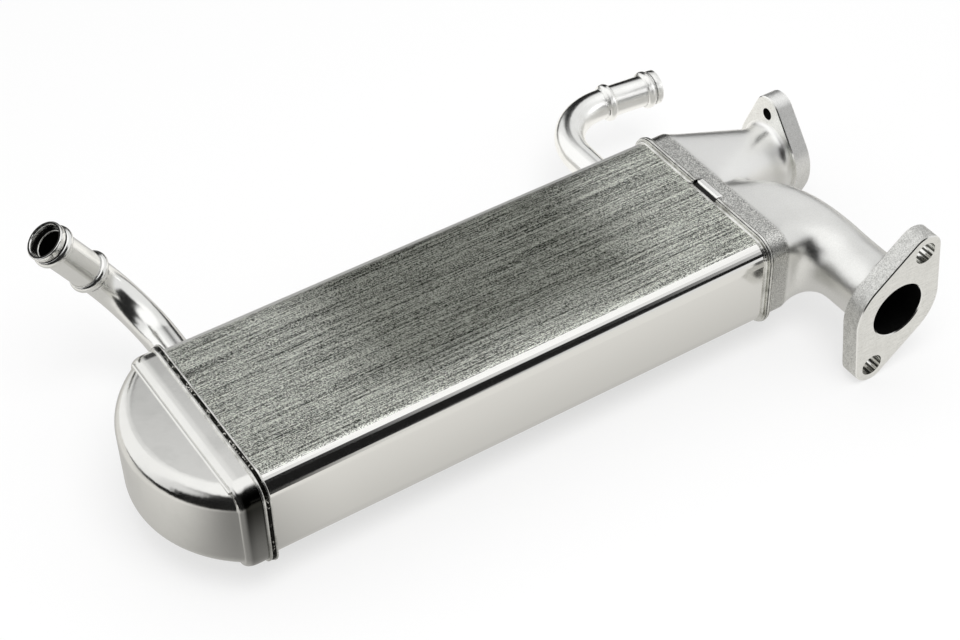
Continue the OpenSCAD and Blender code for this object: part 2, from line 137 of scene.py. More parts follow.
def settle(obj):
    """Puts the object's place, turn and scale into its mesh."""
    pick(obj)
    bpy.ops.object.transform_apply(location=True, rotation=True, scale=True)
    return obj


def apply_modifier(obj, kind, **values):
    """Adds one modifier with its values and applies it."""
    pick(obj)
    modifier = obj.modifiers.new(kind.lower(), kind)
    for key, value in values.items():
        setattr(modifier, key, value)
    bpy.ops.object.modifier_apply(modifier=modifier.name)
    return obj


def bevel(obj, width, segments=3):
    """Breaks the sharp edges."""
    return apply_modifier(obj, "BEVEL", width=width, segments=segments, limit_method="ANGLE",
                          angle_limit=SHARP_EDGE)


def cut_away(obj, cutter):
    """Removes the cutter's shape from obj and deletes the cutter."""
    apply_modifier(obj, "BOOLEAN", operation="DIFFERENCE", object=cutter, solver="EXACT")
    bpy.data.objects.remove(cutter)


def smooth(obj, degrees):
    """Rounds the shading up to an angle and lets large faces keep their own normals."""
    pick(obj)
    bpy.ops.object.shade_smooth_by_angle(angle=math.radians(degrees))
    return apply_modifier(obj, "WEIGHTED_NORMAL", weight=80, keep_sharp=True)


def round_all(obj):
    """Rounds the shading all over."""
    pick(obj)
    bpy.ops.object.shade_smooth()
    return obj


def cylinder(name, radius, depth, place, vertices=96):
    """An upright cylinder with its place in its mesh."""
    deselect()
    bpy.ops.mesh.primitive_cylinder_add(radius=radius, depth=depth, vertices=vertices, location=place)
    return settle(named(name))


def ring(name, radius, thickness, place, turn, segments):
    """A torus with its place and turn in its mesh."""
    deselect()
    around, across = segments
    bpy.ops.mesh.primitive_torus_add(major_radius=radius, minor_radius=thickness, major_segments=around,
                                     minor_segments=across, location=place, rotation=turn)
    return settle(named(name))


def block(name, low, high):
    """A box between two corners."""
    deselect()
    bpy.ops.mesh.primitive_cube_add(size=1.0)
    box = named(name)
    box.dimensions = Vector(high) - Vector(low)
    box.location = (Vector(high) + Vector(low)) / 2
    return settle(box)


def ripple(bead, size, strength):
    """Makes a weld run's surface uneven."""
    texture = bpy.data.textures.new(bead.name + "_ripple", "CLOUDS")
    texture.noise_scale = size
    apply_modifier(bead, "DISPLACE", texture=texture, strength=strength, texture_coords="LOCAL",
                   mid_level=0.5)
    return round_all(bead)


def merged_copy(node, name):
    """A copy of a solid with its loose triangles joined."""
    pick(frame["nodes"][node])
    bpy.ops.object.duplicate()
    copy = named(name)
    copy.parent = None
    copy.matrix_world = Matrix.Identity(4)
    with editing(copy):
        bpy.ops.mesh.remove_doubles(threshold=MERGE_DISTANCE)
    return copy


def finish_piece(obj, material, slot, *nodes):
    """Dresses a piece, fixes it to the part and hides the solids it stands for."""
    obj.data.materials.clear()
    obj.data.materials.append(material)
    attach(obj, "root")
    if nodes:
        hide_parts(*nodes)
    return obj


def second_finish(obj, material, chosen):
    """Gives the faces that the test chooses another finish."""
    obj.data.materials.append(material)
    index = len(obj.data.materials) - 1
    for face in obj.data.polygons:
        if chosen(face.center, face.normal):
            face.material_index = index


# ---- shader node helpers

def feed(tree, value, socket):
    """Links a socket, or sets a plain number."""
    if isinstance(value, (int, float)):
        socket.default_value = value
    else:
        tree.links.new(value, socket)


def math_node(tree, operation, *values, clamp=False):
    """One math node; the values are sockets or numbers."""
    node = tree.nodes.new("ShaderNodeMath")
    node.operation = operation
    node.use_clamp = clamp
    for socket, value in zip(node.inputs, values):
        feed(tree, value, socket)
    return node.outputs[0]


def product(tree, first, *others):
    """The values multiplied together."""
    for other in others:
        first = math_node(tree, "MULTIPLY", first, other)
    return first


def weighted(tree, first, first_share, second, second_share):
    """The sum of two values, each times its share, kept between 0 and 1."""
    first, second = product(tree, first, first_share), product(tree, second, second_share)
    return math_node(tree, "ADD", first, second, clamp=True)


def map_range(tree, value, low, high, to_low=0.0, to_high=1.0, soft=True):
    """Maps low..high to to_low..to_high, with soft ends unless soft is off."""
    node = tree.nodes.new("ShaderNodeMapRange")
    node.interpolation_type = "SMOOTHSTEP" if soft else "LINEAR"
    tree.links.new(value, node.inputs["Value"])
    for label, number in (("From Min", low), ("From Max", high), ("To Min", to_low), ("To Max", to_high)):
        node.inputs[label].default_value = number
    return node.outputs["Result"]


def separate(tree, vector):
    """The X, Y and Z outputs of a vector."""
    node = tree.nodes.new("ShaderNodeSeparateXYZ")
    tree.links.new(vector, node.inputs[0])
    return node.outputs


def noise(tree, vector, scale, detail, rough):
    """Soft noise round 0.5."""
    node = tree.nodes.new("ShaderNodeTexNoise")
    tree.links.new(vector, node.inputs["Vector"])
    feed(tree, scale, node.inputs["Scale"])
    node.inputs["Detail"].default_value = detail
    node.inputs["Roughness"].default_value = rough
    return node.outputs["Fac"]


# ---- effects that several finishes share

def new_group(name, *inputs):
    """An empty shader group with a vector and float inputs (label, default), and one float output."""
    group = bpy.data.node_groups.new(name, "ShaderNodeTree")
    group.interface.new_socket("Vector", in_out="INPUT", socket_type="NodeSocketVector").hide_value = True
    for label, default in inputs:
        number = group.interface.new_socket(label, in_out="INPUT", socket_type="NodeSocketFloat")
        number.default_value = default
    group.interface.new_socket("Value", in_out="OUTPUT", socket_type="NodeSocketFloat")
    given = group.nodes.new("NodeGroupInput").outputs
    return group, given, group.nodes.new("NodeGroupOutput").inputs["Value"]


def along_and_across(tree, given):
    """The group's vector times its Along value on X and its Across value on Y and Z."""
    axes = separate(tree, given["Vector"])
    labels = ("Along", "Across", "Across")
    return [product(tree, axes[axis], given[label]) for axis, label in zip("XYZ", labels)]


def joined(tree, values):
    """A vector of three values."""
    node = tree.nodes.new("ShaderNodeCombineXYZ")
    for value, socket in zip(values, node.inputs):
        tree.links.new(value, socket)
    return node.outputs[0]


def build_streaks():
    """Fine rolling lines along X: a value round 0.5 that changes quickly across them."""
    group, given, result = new_group("rolling_lines", ("Across", 2600.0), ("Along", 55.0))
    lines = noise(group, joined(group, along_and_across(group, given)), 1.0, 2.0, 0.55)
    group.links.new(lines, result)
    return group


def build_speckle():
    """Fine sparkle of a rolled surface: one random value in each small cell."""
    group, given, result = new_group("sheet_speckle", ("Along", 2200.0), ("Across", 3600.0))
    cells = [math_node(group, "FLOOR", value) for value in along_and_across(group, given)]
    random = group.nodes.new("ShaderNodeTexWhiteNoise")
    random.noise_dimensions = "3D"
    group.links.new(joined(group, cells), random.inputs["Vector"])
    group.links.new(random.outputs["Value"], result)
    return group


def build_grain():
    """Blasted or speckled grain: a value round 0.5 with two sizes of spot."""
    group, given, result = new_group("metal_grain", ("Size", 1500.0), ("Coarse", 0.35))
    fine = noise(group, given["Vector"], given["Size"], 2.0, 0.7)
    coarse = noise(group, given["Vector"], product(group, given["Size"], 0.22), 2.0, 0.6)
    fine_share = math_node(group, "SUBTRACT", 1.0, given["Coarse"])
    group.links.new(weighted(group, coarse, given["Coarse"], fine, fine_share), result)
    return group


def build_smudge():
    """Large soft patches of handling marks: 0 clean, 1 marked."""
    group, given, result = new_group("handling_marks", ("Size", 45.0), ("Low", 0.48), ("High", 0.72))
    field = noise(group, given["Vector"], given["Size"], 4.0, 0.6)
    spread = math_node(group, "SUBTRACT", given["High"], given["Low"])
    over_low = math_node(group, "SUBTRACT", field, given["Low"])
    group.links.new(math_node(group, "DIVIDE", over_low, spread, clamp=True), result)
    return group


STREAKS = build_streaks()
SPECKLE = build_speckle()
GRAIN = build_grain()
SMUDGE = build_smudge()


# ---- finishes

class Finish:
    """A metal finish under construction: one Principled shader and its Object coordinates."""

    def __init__(self, name, colour, roughness):
        self.material = bpy.data.materials.new(name)
        self.material.use_nodes = True
        self.material.diffuse_color = (*colour, 1)
        self.tree = self.material.node_tree
        self.shader = self.tree.nodes["Principled BSDF"]
        self.shader.inputs["Base Color"].default_value = (*colour, 1)
        self.shader.inputs["Metallic"].default_value = 1.0
        self.shader.inputs["Roughness"].default_value = roughness
        self.coord = self.tree.nodes.new("ShaderNodeTexCoord").outputs["Object"]

    def place(self):
        """X, Y and Z on the part."""
        return separate(self.tree, self.coord)

    def facing(self):
        """X, Y and Z of the surface's direction."""
        return separate(self.tree, self.tree.nodes.new("ShaderNodeNewGeometry").outputs["Normal"])

    def effect(self, group, **values):
        """One of the shared effects with its own values."""
        node = self.tree.nodes.new("ShaderNodeGroup")
        node.node_tree = group
        self.tree.links.new(self.coord, node.inputs["Vector"])
        for key, value in values.items():
            node.inputs[key].default_value = value
        return node.outputs["Value"]

    def colour_between(self, factor, low, high):
        """A mix of two colours, each a tuple or a socket."""
        mix = self.tree.nodes.new("ShaderNodeMix")
        mix.data_type = "RGBA"
        self.tree.links.new(factor, mix.inputs["Factor"])
        for socket, colour in ((mix.inputs[6], low), (mix.inputs[7], high)):
            if isinstance(colour, tuple):
                socket.default_value = (*colour, 1)
            else:
                self.tree.links.new(colour, socket)
        return mix.outputs[2]

    def base(self, colour):
        """Gives the shader its colour."""
        self.tree.links.new(colour, self.shader.inputs["Base Color"])

    def roughness(self, factor, low, high):
        """Gives the shader its roughness, low at factor 0 and high at 1."""
        rough = map_range(self.tree, factor, 0.0, 1.0, low, high, soft=False)
        self.tree.links.new(rough, self.shader.inputs["Roughness"])

    def bump(self, height, distance):
        """Raises the surface by up to distance where height is 1."""
        node = self.tree.nodes.new("ShaderNodeBump")
        node.inputs["Strength"].default_value = 1.0
        node.inputs["Distance"].default_value = distance
        self.tree.links.new(height, node.inputs["Height"])
        self.tree.links.new(node.outputs["Normal"], self.shader.inputs["Normal"])


def grained_sheet():
    """Rolled sheet: lines and speckle on the wide faces, plain and bright on the corners and sides, where
    the bright colour also paints the corners' highlight strip; a darker copy of the grain paints shade over
    the middle of the top.
    """
    f = Finish("grained_sheet", (0.5, 0.5, 0.48), 0.36)
    t, facing, place = f.tree, f.facing(), f.place()
    # Where the faces turn, the grain gives way to a plain bright colour that paints the corners' highlight
    # strip.
    wide = map_range(t, math_node(t, "ABSOLUTE", facing["Z"]), 0.93, 0.999)
    lines = map_range(t, f.effect(STREAKS, Across=4600.0, Along=32.0), 0.36, 0.64)
    speckle = f.effect(SPECKLE, Along=2600.0, Across=3700.0)
    contrast = map_range(t, weighted(t, lines, 0.43, speckle, 0.57), 0.26, 0.74)
    # Painted shade: over the middle of the top the grain turns to a darker copy of itself.
    from_middle = math_node(t, "ABSOLUTE", math_node(t, "SUBTRACT", place["X"], SHADE_PATCH_X))
    shade_patch = product(t, map_range(t, from_middle, 0.08, 0.035), map_range(t, place["Y"], 0.042, 0.066))
    light = f.colour_between(contrast, (0.06, 0.062, 0.055), (0.96, 0.985, 0.90))
    shaded_grain = f.colour_between(contrast, (0.012, 0.014, 0.010), (0.50, 0.515, 0.455))
    f.base(f.colour_between(wide, (0.88, 0.875, 0.85), f.colour_between(shade_patch, light, shaded_grain)))
    rear_wall = map_range(t, facing["Y"], 0.03, 0.2)
    f.roughness(math_node(t, "MAXIMUM", product(t, wide, 0.4), rear_wall), 0.10, 0.55)
    f.bump(product(t, lines, wide), 0.03 * MM)
    return f.material


def drawn_sheet():
    """Smooth drawn sheet with haze and handling marks, and painted shade at the skirt's front corner,
    fading out towards the bottom.
    """
    f = Finish("drawn_sheet", (0.74, 0.74, 0.71), 0.2)
    t, place = f.tree, f.place()
    grain = f.effect(GRAIN, Size=1700.0)
    marks = f.effect(SMUDGE, Size=60.0)
    skirt = map_range(t, place["X"], RETURN_LOW.x - 8.2 * MM, RETURN_LOW.x - 6.5 * MM)
    front = map_range(t, place["Y"], SHELL_LOW.y + 4 * MM, SHELL_LOW.y + 0.5 * MM)
    upper = map_range(t, place["Z"], SHELL_LOW.z, SHELL_HIGH.z - 5 * MM, 0.45, 1.0)
    haze = weighted(t, grain, 0.5, marks, 0.25)
    clean = f.colour_between(haze, (0.85, 0.845, 0.82), (0.72, 0.72, 0.695))
    # Painted shade: the skirt's front corner is painted near-black, fading out towards the bottom.
    f.base(f.colour_between(product(t, skirt, front, upper), clean, (0.03, 0.03, 0.026)))
    f.roughness(marks, 0.14, 0.24)
    f.bump(grain, 0.012 * MM)
    return f.material


def cast_steel():
    """Blasted casting: fine matte grain with soft darker patches, a coarser band on the collar, and painted
    light that gives the rear duct a lighter copy of the front duct's colours.
    """
    f = Finish("cast_steel", (0.74, 0.74, 0.72), 0.42)
    t, place = f.tree, f.place()
    grain = f.effect(GRAIN, Size=2500.0, Coarse=0.1)
    marks = f.effect(SMUDGE, Size=38.0, Low=0.5, High=0.8)
    tone = weighted(t, map_range(t, grain, 0.3, 0.7), 0.6, marks, 0.4)
    collar = map_range(t, place["X"], COLLAR_END + 1 * MM, COLLAR_END - 1 * MM)
    rear = map_range(t, place["Y"], CORE_Y - 4 * MM, CORE_Y + 4 * MM)
    front_duct = f.colour_between(tone, (0.93, 0.93, 0.91), (0.78, 0.78, 0.755))
    # Painted light: the rear duct takes a lighter copy of the front duct's colours.
    rear_duct_painted_light = f.colour_between(tone, (1.0, 1.0, 0.985), (0.93, 0.93, 0.91))
    band = f.colour_between(map_range(t, grain, 0.40, 0.60), (0.30, 0.30, 0.29), (0.86, 0.86, 0.83))
    f.base(f.colour_between(collar, f.colour_between(rear, front_duct, rear_duct_painted_light), band))
    f.roughness(grain, 0.24, 0.36)
    f.bump(grain, 0.06 * MM)
    return f.material


def machined_face():
    """Milled flange: faint straight tool lines under a satin finish."""
    f = Finish("machined_face", (0.74, 0.74, 0.71), 0.3)
    t = f.tree
    lines = f.effect(STREAKS, Across=1500.0, Along=120.0)
    milled = weighted(t, lines, 0.35, f.effect(GRAIN, Size=1300.0), 0.65)
    f.base(f.colour_between(map_range(t, milled, 0.3, 0.7), (0.74, 0.74, 0.715), (0.94, 0.94, 0.915)))
    f.roughness(milled, 0.22, 0.36)
    f.bump(milled, 0.02 * MM)
    return f.material


def bright_pipe(name, satin):
    """Bright tube with soft handling marks, brushed to a satin on its front side."""
    f = Finish(name, (0.9, 0.9, 0.88), 0.2)
    t = f.tree
    marks = f.effect(SMUDGE, Size=70.0)
    f.base(f.colour_between(product(t, marks, 0.55), (0.95, 0.95, 0.93), (0.78, 0.775, 0.74)))
    brushed = map_range(t, f.facing()["Y"], -0.1, -0.5, 0.0, satin)
    f.roughness(math_node(t, "MULTIPLY_ADD", marks, 0.1, brushed, clamp=True), 0.19, 0.85)
    f.bump(f.effect(GRAIN, Size=1600.0), 0.01 * MM)
    return f.material


def sheet_rim():
    """Bright cut edge of the tube sheets."""
    f = Finish("sheet_rim", (0.78, 0.78, 0.75), 0.25)
    grain = f.effect(GRAIN, Size=1400.0)
    f.base(f.colour_between(f.effect(SMUDGE, Size=160.0), (0.84, 0.84, 0.81), (0.45, 0.45, 0.42)))
    f.roughness(grain, 0.18, 0.36)
    f.bump(grain, 0.03 * MM)
    return f.material


def spotted(name, colour, size, edges, dark, light, rough, height):
    """Metal that shows as bright spots through a dark layer."""
    f = Finish(name, colour, sum(rough) / 2)
    spots = f.effect(GRAIN, Size=size)
    f.base(f.colour_between(map_range(f.tree, spots, *edges), dark, light))
    f.roughness(spots, *rough)
    f.bump(spots, height)
    return f.material


def painted_shade_steel():
    """Near-black steel: painted shade inside the gas and coolant passages, the rear flange's bolt holes and
    the key's gap.
    """
    f = Finish("painted_shade_steel", (0.03, 0.03, 0.03), 0.55)
    grain = f.effect(GRAIN, Size=800.0)
    f.base(f.colour_between(grain, (0.012, 0.012, 0.012), (0.05, 0.05, 0.048)))
    f.roughness(grain, 0.4, 0.7)
    return f.material


def bored_wall():
    """Bore of a bolt hole: bright wall with darker reamer streaks along the hole."""
    f = Finish("bored_wall", (0.8, 0.8, 0.78), 0.15)
    t, place = f.tree, f.place()
    round_wall = math_node(t, "ADD", place["X"], place["Z"])
    land = map_range(t, math_node(t, "SINE", product(t, round_wall, 2400.0)), -0.6, 0.3)
    f.base(f.colour_between(land, (0.10, 0.10, 0.09), (0.92, 0.92, 0.89)))
    f.roughness(land, 0.3, 0.14)
    f.bump(f.effect(GRAIN, Size=900.0), 0.02 * MM)
    return f.material


def blasted_side(name, dark, light):
    """Sides of the flanges: matte, with a speckled blasted grain."""
    f = Finish(name, light, 0.5)
    grain = f.effect(GRAIN, Size=2300.0, Coarse=0.25)
    f.base(f.colour_between(map_range(f.tree, grain, 0.36, 0.62), dark, light))
    f.roughness(grain, 0.38, 0.58)
    f.bump(grain, 0.03 * MM)
    return f.material


def core_steel(name, low, high):
    """Brazed strip of the tubes, fins and baffles."""
    f = Finish(name, high, 0.4)
    lines = f.effect(STREAKS, Across=1800.0, Along=90.0)
    f.base(f.colour_between(lines, low, high))
    f.roughness(lines, 0.3, 0.5)
    f.bump(lines, 0.02 * MM)
    return f.material


GRAINED_SHEET = grained_sheet()
DRAWN_SHEET = drawn_sheet()
CAST_STEEL = cast_steel()
MACHINED_FACE = machined_face()
POLISHED_PIPE = bright_pipe("polished_pipe", satin=0.0)
SATIN_PIPE = bright_pipe("satin_pipe", satin=0.15)
SHEET_RIM = sheet_rim()
WELD_SEAM = spotted("weld_seam", (0.3, 0.3, 0.28), 900.0, (0.54, 0.62), (0.012, 0.012, 0.010),
                    (0.86, 0.85, 0.80), (0.25, 0.5), 0.2 * MM)
DARK_JOINT = spotted("dark_joint", (0.1, 0.1, 0.095), 1100.0, (0.45, 0.65), (0.03, 0.03, 0.028),
                     (0.36, 0.355, 0.33), (0.3, 0.5), 0.1 * MM)
PAINTED_SHADE_STEEL = painted_shade_steel()
BORED_WALL = bored_wall()
# Two copies of one grain: the front flange's sides darker as painted shade, the rear flange's sides lighter
# as painted light.
FRONT_SIDE_SHADE = blasted_side("front_flange_side_painted_shade", (0.50, 0.50, 0.48), (0.86, 0.86, 0.835))
REAR_SIDE_LIGHT = blasted_side("rear_flange_side_painted_light", (0.84, 0.84, 0.82), (1.0, 1.0, 0.985))
TUBE_STEEL = core_steel("tube_steel", (0.34, 0.34, 0.33), (0.62, 0.62, 0.60))
FIN_STEEL = core_steel("fin_steel", (0.22, 0.22, 0.215), (0.45, 0.45, 0.44))


# ---- camera at the photograph's place

CAMERA_PLACE = (-0.42565, -0.39606, 0.52601)
CAMERA_RIGHT = (0.8406, -0.5413, -0.0208)
CAMERA_UP = (0.3830, 0.5667, 0.7295)
CAMERA_LENS, CAMERA_SENSOR = 78.06, 36.0
CAMERA_REACH = 20.0


def add_camera():
    """The camera that gives the photograph's view."""
    right = Vector(CAMERA_RIGHT).normalized()
    back = right.cross(Vector(CAMERA_UP)).normalized()
    place = Matrix((right, back.cross(right), back)).transposed().to_4x4()
    place.translation = CAMERA_PLACE
    data = bpy.data.cameras.new("photo_camera")
    data.sensor_width = CAMERA_SENSOR
    data.lens = CAMERA_LENS
    data.clip_end = CAMERA_REACH
    camera = bpy.data.objects.new("photo_camera", data)
    camera.matrix_world = place
    bpy.context.scene.collection.objects.link(camera)
    bpy.context.scene.camera = camera


# ---- plain solids and sheet-metal pieces

def dress_solids():
    """Finishes of the solids that are shown as they are."""
    for node, obj in frame["nodes"].items():
        if "tube_sheet" in node:
            material = SHEET_RIM
        elif "_fin_" in node:
            material = FIN_STEEL
        else:
            material = TUBE_STEEL
        obj.data.materials.clear()
        obj.data.materials.append(material)


def add_shell():
    """The drawn coolant shell."""
    shell = merged_copy("shell", "coolant_shell")
    finish_piece(smooth(shell, 30), GRAINED_SHEET, "grained_sheet", "shell")


def add_cap():
    """The drawn return cap."""
    cap = merged_copy("return_cap", "drawn_return_cap")
    finish_piece(smooth(cap, 25), DRAWN_SHEET, "drawn_sheet", "return_cap")


def add_drum_crease():
    """The thin rolled line where the cap's drum meets its skirt."""
    radius, short_of_width, sunk = 0.7 * MM, 9 * MM, 0.15 * MM
    crease = cylinder("drum_crease", radius, SHELL_WIDTH - short_of_width, (0, 0, 0), 32)
    crease.matrix_world = (Matrix.Translation((CREASE_X, CORE_Y, DRUM_TOP - sunk))
                           @ Matrix.Rotation(QUARTER_TURN, 4, "X"))
    bevel(settle(crease), 0.3 * MM)
    finish_piece(smooth(crease, 50), DRAWN_SHEET, "drawn_sheet")


# ---- coolant pipes

def add_pipes():
    """The coolant pipes, with painted shade within: a face that looks at another one close by is on the
    inner wall.
    """
    off_wall, bore_sight, end_depth, bead_depth = 0.05 * MM, 12.5 * MM, 0.8 * MM, 4.2 * MM
    for node, name, finish in (("coolant_inlet_pipe", "inlet_pipe", POLISHED_PIPE),
                               ("coolant_outlet_pipe", "outlet_pipe", SATIN_PIPE)):
        pipe = smooth(merged_copy(node, name), 40)
        finish_piece(pipe, finish, "polished_pipe", node)
        mouth = MOUNTS[node.replace("pipe", "nipple")]
        end, axis = Vector(mouth["pos_m"]), Vector(mouth["axis"])

        def within(place, normal):
            at_end = normal.dot(axis) > 0.9 and (place - end).dot(axis) > -end_depth
            return at_end or pipe.ray_cast(place + normal * off_wall, normal, distance=bore_sight)[0]

        # Painted shade: the inner wall and the outward faces at the mouth are near-black.
        second_finish(pipe, PAINTED_SHADE_STEEL, within)
        add_inner_bead(name + "_inner_bead", end - axis * bead_depth, axis)


def add_inner_bead(name, place, axis):
    """The bright inside of the rolled bead, seen through the pipe's mouth."""
    radius, thickness = 5.9 * MM, 0.45 * MM
    bead = ring(name, radius, thickness, place, axis.to_track_quat("Z", "Y").to_euler(), (64, 12))
    finish_piece(round_all(bead), SHEET_RIM, "polished_pipe")


def add_root_welds():
    """Weld runs where the coolant pipes leave the rear wall."""
    off_pipe, thickness = 0.4 * MM, 1.0 * MM
    for node, (x, radius) in PIPE_ROOTS.items():
        bead = ring(node + "_weld", radius + off_pipe, thickness, (x, SHELL_HIGH.y, 0),
                    (QUARTER_TURN, 0, 0), (96, 14))
        finish_piece(ripple(bead, 1.6 * MM, 0.5 * MM), WELD_SEAM, "polished_pipe")


# ---- gas header casting

def add_header_body():
    """The casting's ducts and collar with cast rounds where surfaces meet."""
    body = merged_copy("gas_header", "header_casting")
    apply_modifier(body, "REMESH", mode="VOXEL", voxel_size=CAST_VOXEL)
    apply_modifier(body, "SMOOTH", factor=0.5, iterations=EDGE_PASSES)
    ducts = body.vertex_groups.new(name="ducts")
    for vertex in body.data.vertices:
        inside = min(vertex.co.x - COLLAR_END, vertex.co.y - FRONT_PLATE, REAR_BACK - vertex.co.x)
        if inside > 0:
            ducts.add([vertex.index], min(1.0, inside / DUCT_FADE), "REPLACE")
    apply_modifier(body, "SMOOTH", factor=0.5, iterations=DUCT_PASSES, vertex_group="ducts")
    for bolts in PLATE_PLACE:
        open_bolt_holes(body, bolts)
    finish_piece(round_all(body), CAST_STEEL, "cast_steel", "gas_header")
    # Painted shade: the faces inside the gas ports are near-black.
    second_finish(body, PAINTED_SHADE_STEEL, in_gas_passage)


def open_bolt_holes(body, bolts):
    """Widens the casting's own bolt holes behind the crisp plate."""
    size = MOUNTS[bolts]["dims"]
    radius, depth = size["hole_r_mm"] * MM + HOLE_CLEARANCE, 30 * MM
    for side in (-1, 1):
        cutter = cylinder("cutter", radius, depth, (0, side * size["pcd_mm"] / 2 * MM, 0), 48)
        cutter.matrix_world = PLATE_PLACE[bolts]
        cut_away(body, settle(cutter))


def in_gas_passage(place, normal):
    """True within either gas port's bore, a little way into the casting."""
    wall_slack = 1.0 * MM
    for mount, reach in (("front_gas_port", 26 * MM), ("rear_gas_port", 30 * MM)):
        port = MOUNTS[mount]
        axis = Vector(port["axis"])
        offset = place - Vector(port["pos_m"])
        depth = -offset.dot(axis)
        across = (offset + axis * depth).length
        if 0 < depth < reach and across < port["dims"]["r_mm"] * MM + wall_slack:
            return True
    return False


def plate_outline(name, hub, ear, pitch, thickness):
    """A plate whose outline runs round a hub and two ears."""
    depth = thickness + 2 * PLATE_SKIN
    rounds = [cylinder(name + "_round", radius + PLATE_SKIN, depth, (0, y, -thickness / 2))
              for radius, y in ((hub, 0), (ear, pitch / 2), (ear, -pitch / 2))]
    pick(rounds[0])
    for piece in rounds:
        piece.select_set(True)
    bpy.ops.object.join()
    plate = named(name)
    with editing(plate):
        bpy.ops.mesh.convex_hull()
        bpy.ops.mesh.dissolve_limited(angle_limit=math.radians(1))
    return plate


def add_flange(name, port, bolts, hub, thickness, side_finish, hole_finish):
    """A two-bolt flange plate as a crisp machined skin over the casting's own flange."""
    radius = MOUNTS[port]["dims"]["r_mm"] * MM
    pitch = MOUNTS[bolts]["dims"]["pcd_mm"] * MM
    hole = MOUNTS[bolts]["dims"]["hole_r_mm"] * MM
    through = 3 * (thickness + 2 * PLATE_SKIN)
    plate = plate_outline(name, hub, EAR, pitch, thickness)
    cut_away(plate, cylinder("cutter", radius - PLATE_SKIN, through, (0, 0, 0)))
    bevel(plate, PLATE_CHAMFER, segments=1)
    for y in (pitch / 2, -pitch / 2):
        cut_away(plate, cylinder("cutter", hole, through, (0, y, 0), 64))
    finish_piece(smooth(plate, 40), MACHINED_FACE, "cast_steel")

    def upright(normal):
        return abs(normal.z) < 0.1

    def from_hole(place):
        return Vector((place.x, abs(place.y) - pitch / 2)).length

    second_finish(plate, side_finish, lambda c, n: upright(n) and c.xy.length > radius + PLATE_SKIN)
    second_finish(plate, POLISHED_PIPE, lambda c, n: 0.3 < abs(n.z) < 0.9)
    # Painted shade: the bore's wall, and the rear flange's bolt holes, are near-black.
    second_finish(plate, PAINTED_SHADE_STEEL, lambda c, n: upright(n) and c.xy.length < radius)
    second_finish(plate, hole_finish, lambda c, n: upright(n) and from_hole(c) < hole + PLATE_SKIN)
    plate.matrix_world = PLATE_PLACE[bolts]
    settle(plate)


def add_flanges():
    """The front flange with reamed holes and the rear one with bolt holes in near-black painted shade."""
    add_flange("front_flange", "front_gas_port", "front_bolts", FRONT_HUB, FRONT_PLATE,
               FRONT_SIDE_SHADE, BORED_WALL)
    add_flange("rear_flange", "rear_gas_port", "rear_bolts", REAR_HUB, REAR_PLATE,
               REAR_SIDE_LIGHT, PAINTED_SHADE_STEEL)


# ---- rims and welds round the core

def rim_loop(name, x, proud):
    """A flat face with rounded corners across the core, larger than the shell by proud all round."""
    deselect()
    bpy.ops.mesh.primitive_plane_add(size=1.0)
    loop = named(name)
    loop.dimensions = (SHELL_WIDTH + 2 * proud, SHELL_HEIGHT + 2 * proud, 0)
    with editing(settle(loop)):
        bpy.ops.mesh.bevel(affect="VERTICES", offset=SHELL_CORNER + proud, segments=10)
    loop.matrix_world = (Matrix.Translation((x, CORE_Y, 0)) @ Matrix.Rotation(QUARTER_TURN, 4, "Z")
                         @ Matrix.Rotation(QUARTER_TURN, 4, "X"))
    return settle(loop)


def add_lip(name, low, high, proud, edge):
    """A thin rolled lip round the core between two places along it."""
    into_wall = 0.6 * MM
    lip = rim_loop(name, low, proud)
    with editing(lip):
        bpy.ops.mesh.inset(thickness=proud + into_wall)
        bpy.ops.mesh.delete(type="FACE")
    apply_modifier(lip, "SOLIDIFY", thickness=high - low, offset=1.0)
    with editing(lip):
        bpy.ops.mesh.normals_make_consistent(inside=False)
    lip.location.x = low - min(vertex.co.x for vertex in lip.data.vertices)
    return bevel(settle(lip), edge)


def add_bead(name, x, proud, radius, unevenness):
    """A weld run round the core with an uneven surface."""
    bead = rim_loop(name, x, proud)
    with editing(bead):
        bpy.ops.mesh.delete(type="ONLY_FACE")
        bpy.ops.mesh.select_all(action="SELECT")
        bpy.ops.mesh.subdivide(number_cuts=12)
    bpy.ops.object.convert(target="CURVE")
    bead.data.dimensions = "3D"
    bead.data.bevel_depth = radius
    bead.data.bevel_resolution = 3
    bpy.ops.object.convert(target="MESH")
    return ripple(bpy.context.object, 1.3 * MM, unevenness)


def cut_notch(obj):
    """Opens a ring over the port sheet's notch."""
    reach, clearance, height = 6 * MM, 0.2 * MM, 8 * MM
    bottom = SHELL_HIGH.z + clearance
    cut_away(obj, block("notch_block", (PORT_LOW.x - reach, NOTCH_LOW, bottom),
                        (PORT_LOW.x + reach, NOTCH_HIGH, bottom + height)))
    return obj


def add_return_rim():
    """Lips of the cap and the shell with the dark weld seam between them."""
    for name, low, high, proud, edge in (("return_shell_lip", 0.35 * MM, 1.1 * MM, 2.6 * MM, 0.22 * MM),
                                         ("return_cap_lip", -1.9 * MM, -0.75 * MM, 2.1 * MM, 0.4 * MM)):
        lip = add_lip(name, RETURN_X + low, RETURN_X + high, proud, edge)
        finish_piece(smooth(lip, 40), SHEET_RIM, "sheet_rim")
    bead = add_bead("return_seam", RETURN_X - 0.2 * MM, 1.6 * MM, 0.6 * MM, 0.4 * MM)
    finish_piece(bead, WELD_SEAM, "sheet_rim")


